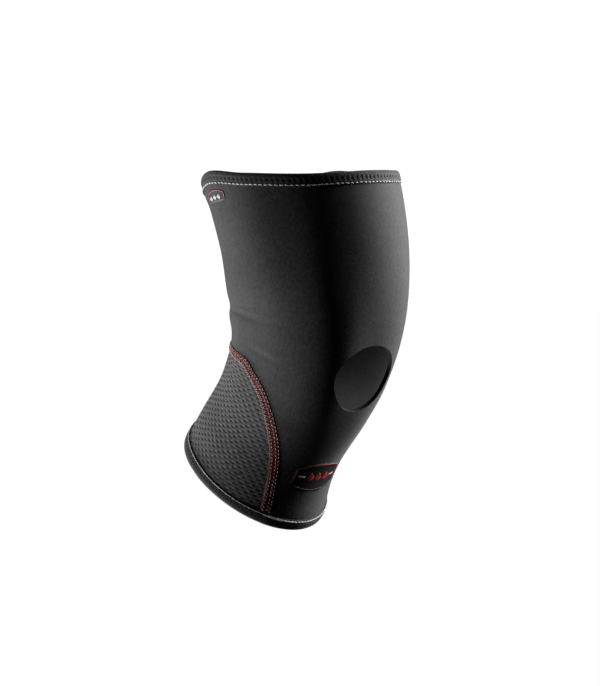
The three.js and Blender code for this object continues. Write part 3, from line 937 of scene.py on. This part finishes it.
seam_line = seam_course(0, SEAM_LINE_STEP)
seam_line = seam_line[seam_line[:, 1] < SHIN_REACH - BOTTOM_BINDING["foot"]]
seam_ways = np.gradient(seam_line, axis=0)
seam_ways /= np.linalg.norm(seam_ways, axis=1, keepdims=True)
seam_runs = np.concatenate([[0], np.cumsum(np.linalg.norm(np.diff(seam_line, axis=0), axis=1))])
seam_length = seam_runs[-1]


def on_seam(run, offset):
    """Pattern places at lengths along the seam, and offsets out of the panel."""
    x = np.interp(run, seam_runs, seam_line[:, 0])
    y = np.interp(run, seam_runs, seam_line[:, 1])
    way_x = np.interp(run, seam_runs, seam_ways[:, 0])
    way_y = np.interp(run, seam_runs, seam_ways[:, 1])
    return np.stack([BACK + x + offset * way_y, y - offset * way_x], -1)


# The dark red bed of thread under the loops
seam_under = knit_cloth("red_seam_base", "3c1412", sheen=0.1, **SPACER_STITCH)
base_runs = np.linspace(0, seam_length, round(seam_length / SEAM_BASE_STEP) + 1)
base_offsets = [row["offset"] for row in SEAM_BASE_SECTION]
run, offset = np.meshgrid(base_runs, base_offsets, indexing="ij")
base_places = on_seam(run, offset)
base_heights = np.broadcast_to([row["height"] for row in SEAM_BASE_SECTION], run.shape)
across = len(SEAM_BASE_SECTION)
base_faces = [
    [column * across + row, (column + 1) * across + row,
     (column + 1) * across + row + 1, column * across + row + 1]
    for column in range(len(base_runs) - 1) for row in range(across - 1)
]
seam_base = mesh_piece(
    "flat_seam_base",
    on_leg(base_places[..., 0], base_places[..., 1], base_heights).reshape(-1, 3),
    base_faces, [seam_under], uv=np.stack([run, offset], -1).reshape(-1, 2),
)
thicken(seam_base, SEAM_BASE_THICKNESS)
stands_for(seam_base, "seam_band")

pink_thread = thread_material("greyish_pink_thread", "b88b85", 0.25)
pale_thread = thread_material("pale_pink_thread", "f6d2ca", 0.25)
red_thread = thread_material("red_thread", "b8443c", 0.2)
dull_thread = thread_material("dull_red_thread", "8c423d", 0.15)


def loop_row(name, row, material):
    """A row of slanted loops along the whole seam."""
    middles = np.arange(LOOP_PITCH, seam_length - LOOP_PITCH, LOOP_PITCH)
    starts = on_seam(middles - row["slant"], np.full(len(middles), row["start"]))
    ends = on_seam(middles + row["slant"], np.full(len(middles), row["end"]))
    return sew(name, starts, ends, row["height"], row["thickness"], material)


seam_threads = [
    loop_row("pink_panel_loops", PANEL_LOOPS, pink_thread),
    loop_row("red_middle_loops", MIDDLE_LOOPS, red_thread),
    loop_row("dull_body_loops", BODY_LOOPS, dull_thread),
]
needle_starts, needle_ends = [], []
for line, line_offset in enumerate(NEEDLE_LINES):
    runs = np.arange(NEEDLE_PITCH * (1 + line % 2) / 2, seam_length - NEEDLE_PITCH, NEEDLE_PITCH)
    needle_starts.append(on_seam(runs, np.full(len(runs), line_offset)))
    needle_ends.append(on_seam(runs + NEEDLE_PITCH * NEEDLE_SHARE, np.full(len(runs), line_offset)))
seam_threads.append(sew(
    "needle_lines", np.concatenate(needle_starts), np.concatenate(needle_ends),
    NEEDLE_HEIGHT, NEEDLE_THICKNESS, pale_thread,
))

# The transfer badges
# Two thin dark film patches with a printed edge, pressed on hot: a big one low on the shin and a
# small one at the back of the thigh. What they print here is plain lozenges and rules.

FILM_THICKNESS = 0.0002
FILM_LIFT = 0.00005
FILM_SPACING = 0.0016
INK_THICKNESS = 0.00005
PRINT_SPACING = 0.0012
BADGE_TAPER = 0.8
BADGE_EDGE_POINTS = 33
# room is the bare cloth between a badge and the binding, edge the printed line's width and inset
# its distance from the film's edge
SHIN_BADGE = dict(
    width=0.050, height=0.024, around=math.radians(2) * PATTERN_RADIUS, binding=BOTTOM_BINDING,
    room=0.0245, edge=0.0013, inset=0.0008,
)
THIGH_BADGE = dict(
    width=0.022, height=0.009, around=math.radians(-114) * PATTERN_RADIUS, binding=TOP_BINDING,
    room=0.0035, edge=0.0007, inset=0.0004,
)
# The upper line turns down at both ends, into this share of the lower half. The lower line is
# thinner, and stops a few points short of the ends.
EDGE_HOOK = 0.6
LOWER_EDGE_SHARE = 0.5
LOWER_EDGE_SHORT = 2
# Rows of motifs: where they are across and down from the badge's middle, and how big
SHIN_LOZENGES = dict(across=(-0.0085, 0, 0.0085), down=0, width=0.0078, height=0.0078)
SHIN_RULES = dict(across=(-0.0172, 0.0172), down=0, width=0.0068, height=0.0015)
THIGH_LOZENGES = dict(across=(-0.0055, -0.0005, 0.0045), down=0.0008, width=0.0046, height=0.0036)
LOZENGE = np.array([[0, -0.5], [0.5, 0], [0, 0.5], [-0.5, 0]])
RULE = np.array([[-0.5, -0.5], [0.5, -0.5], [0.5, 0.5], [-0.5, 0.5]])


def plain_material(name, colour, roughness):
    """One flat colour."""
    material = new_material(name)
    give_surface(material, {"Base Color": linear(colour), "Roughness": roughness})
    return material


# Polyurethane film, matt, and printed ink, a little satin
film = plain_material("dark_transfer_film", "1b1b1c", 0.62)
red_ink = plain_material("red_ink", "d03a34", 0.5)
dull_red_ink = plain_material("dull_red_ink", "b8484a", 0.5)
grey_ink = plain_material("pale_grey_ink", "e0e0e0", 0.5)
dim_ink = plain_material("dim_grey_ink", "55585a", 0.5)


def barrel(badge, inset):
    """The badge's top edge from left to right, moved in from the film's edge."""
    a = np.linspace(0, 1, BADGE_EDGE_POINTS)
    taper = np.sqrt(1 - (BADGE_TAPER * (2 * a - 1)) ** 2)
    across = (a - 0.5) * (badge["width"] - 2 * inset)
    return np.stack([across, -(badge["height"] / 2 - inset) * taper], -1)


def stick(name, badge, loop, height, thickness, material, spacing):
    """A flat shape stuck on the cloth at a badge's place."""
    binding = badge["binding"]
    station = binding["rim"]
    for part in (binding["foot"], badge["room"], badge["height"] / 2):
        station += binding["inward"] * part
    places, faces = cut_on_pattern([loop + [badge["around"], station]], spacing)
    piece = mesh_piece(
        name, on_leg(places[:, 0], places[:, 1], height), faces, [material], uv=places,
    )
    thicken(piece, thickness)
    return piece


def make_badge(node, badge, motifs):
    """The film, its printed edge and its motifs."""
    top = barrel(badge, 0)
    film_loop = np.concatenate([top, top[::-1] * [1, -1]])
    film_height = NEOPRENE_WALL + FILM_LIFT + FILM_THICKNESS
    patch = stick(node + "_film", badge, film_loop, film_height, FILM_THICKNESS, film, FILM_SPACING)
    stands_for(patch, node)
    outer, inner = barrel(badge, badge["inset"]), barrel(badge, badge["inset"] + badge["edge"])
    hooked = [1, -EDGE_HOOK]
    upper = np.concatenate([
        outer[:1] * hooked, outer, outer[-1:] * hooked,
        inner[-1:] * hooked, inner[::-1], inner[:1] * hooked,
    ])
    thin = barrel(badge, badge["inset"] + badge["edge"] * LOWER_EDGE_SHARE)
    short = slice(LOWER_EDGE_SHORT, -LOWER_EDGE_SHORT)
    lower = np.concatenate([outer[short], thin[short][::-1]]) * [1, -1]
    for number, (loop, ink) in enumerate([(upper, dull_red_ink), (lower, dim_ink)] + motifs):
        printed = stick(
            f"{node}_print_{number + 1}", badge, loop, film_height + INK_THICKNESS,
            INK_THICKNESS, ink, PRINT_SPACING,
        )
        stands_for(printed, None)


def in_row(shape, row, ink):
    """The outlines of a row of motifs, each with its ink."""
    size = [row["width"], row["height"]]
    return [(shape * size + [across, row["down"]], ink) for across in row["across"]]


shin_motifs = in_row(LOZENGE, SHIN_LOZENGES, red_ink) + in_row(RULE, SHIN_RULES, grey_ink)
make_badge("shin_badge", SHIN_BADGE, shin_motifs)
make_badge("thigh_badge", THIGH_BADGE, in_row(LOZENGE, THIGH_LOZENGES, grey_ink))

# The floor and the light
# A white room: a pale floor well below the knee, and five soft lights, most of them behind the
# knee on both sides, so that both edges shine and the front stays dark.

FLOOR_DEPTH = 1.6
FLOOR_SIZE = 60
SOFTBOX_AWAY = 1.3
SOFTBOX_WIDTH = 0.5
SOFTBOX_HEIGHT = 0.9
# around is degrees round from the camera, to its right, and up is metres above the knee
SOFT_LIGHTS = [
    dict(name="left_softbox", around=-120, up=-0.75, watts=22),
    dict(name="high_left_softbox", around=-120, up=0.6, watts=3),
    dict(name="left_side_softbox", around=-84, up=-0.5, watts=9),
    dict(name="right_softbox", around=120, up=0.4, watts=29),
    dict(name="high_right_softbox", around=100, up=0.8, watts=7),
]
WHITE_AS_LIGHT = 0.005
WHITE_AS_SEEN = 1.1

bpy.ops.mesh.primitive_plane_add(size=FLOOR_SIZE, location=(0, 0, -FLOOR_DEPTH))
floor = bpy.context.object
floor.name = "pale_floor"
floor.visible_diffuse = False
floor.visible_glossy = False
# White acrylic sheet, lit from below
pale = new_material("lit_white_acrylic")
give_surface(pale, {
    "Base Color": linear("f2f2f2"), "Roughness": 0.9,
    "Emission Color": linear("ffffff"), "Emission Strength": 1.0,
})
floor.data.materials.append(pale)

for light in SOFT_LIGHTS:
    turn = math.radians(light["around"])
    round_knee = to_right * math.sin(turn) + to_camera * math.cos(turn)
    place = round_knee * SOFTBOX_AWAY + [0, 0, light["up"]]
    bpy.ops.object.light_add(type="AREA", location=place)
    lamp = bpy.context.object
    lamp.name = light["name"]
    lamp.data.shape = "RECTANGLE"
    lamp.data.size = SOFTBOX_WIDTH
    lamp.data.size_y = SOFTBOX_HEIGHT
    lamp.data.energy = light["watts"]
    facing = -place / np.linalg.norm(place)
    lamp.rotation_euler = (math.acos(-facing[2]), 0, math.atan2(facing[1], facing[0]) - math.pi / 2)

world = bpy.data.worlds.new("white_studio")
bpy.context.scene.world = world
world.use_nodes = True
world.node_tree.nodes.clear()
seen = add_node(world, "LightPath", {})
strength = add_node(world, "MapRange", {
    "Value": seen.outputs["Is Camera Ray"], "To Min": WHITE_AS_LIGHT, "To Max": WHITE_AS_SEEN,
})
sky = add_node(world, "Background", {"Color": linear("ffffff"), "Strength": strength.outputs[0]})
add_node(world, "OutputWorld", {0: sky.outputs[0]})
bpy.context.scene.view_settings.view_transform = "Standard"
